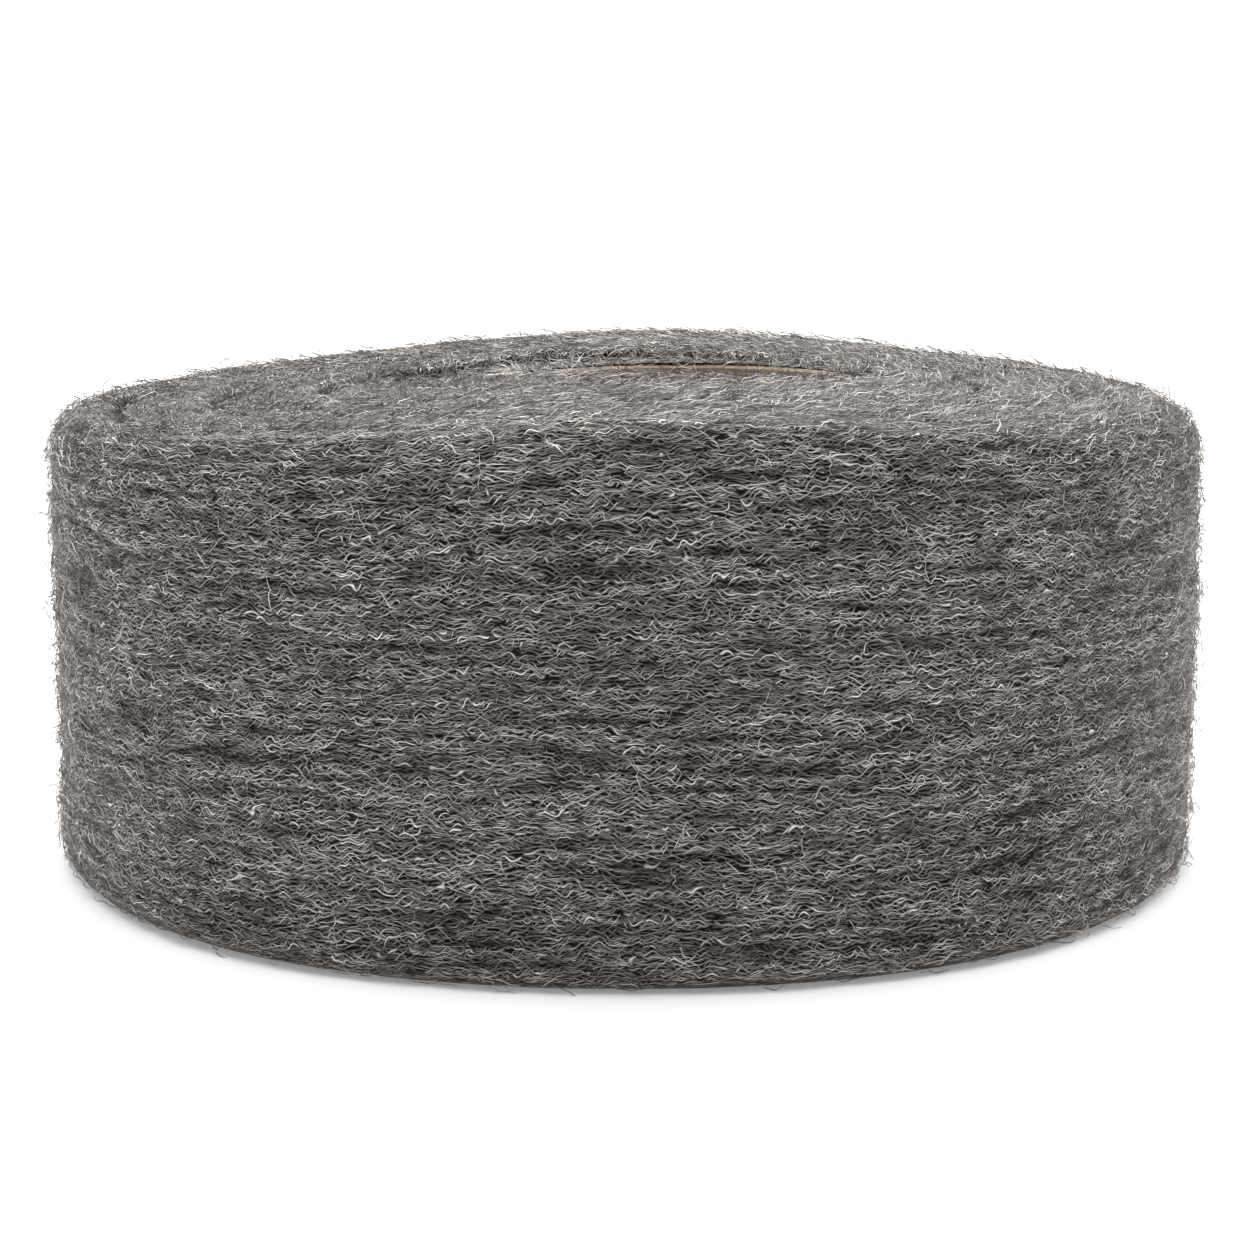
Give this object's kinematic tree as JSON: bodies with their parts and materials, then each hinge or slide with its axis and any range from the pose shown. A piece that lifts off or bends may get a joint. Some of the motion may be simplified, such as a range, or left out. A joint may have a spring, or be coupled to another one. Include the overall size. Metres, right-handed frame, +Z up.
{
  "type": "steel wool roll",
  "caption": "Reel of steel wool standing on its end: a spiral-wound ribbon of matted steel fibre on a plain cardboard core with an open bore.",
  "frame": {"origin": "centre of the footprint, on the surface that the roll stands on", "axes": "+Z up, along the core; the roll's front, as it is usually seen, faces -Y; +X to its right"},
  "size_m": [0.2524, 0.2516, 0.1091],
  "materials": {
    "steel_wool": "matted fine steel fibres, warm grey with bright glints",
    "cardboard": "matt brown wound paper"
  },
  "bodies": {
    "root": {"wool_roll": "steel_wool", "cardboard_core": "cardboard"}
  },
  "joints": []
}
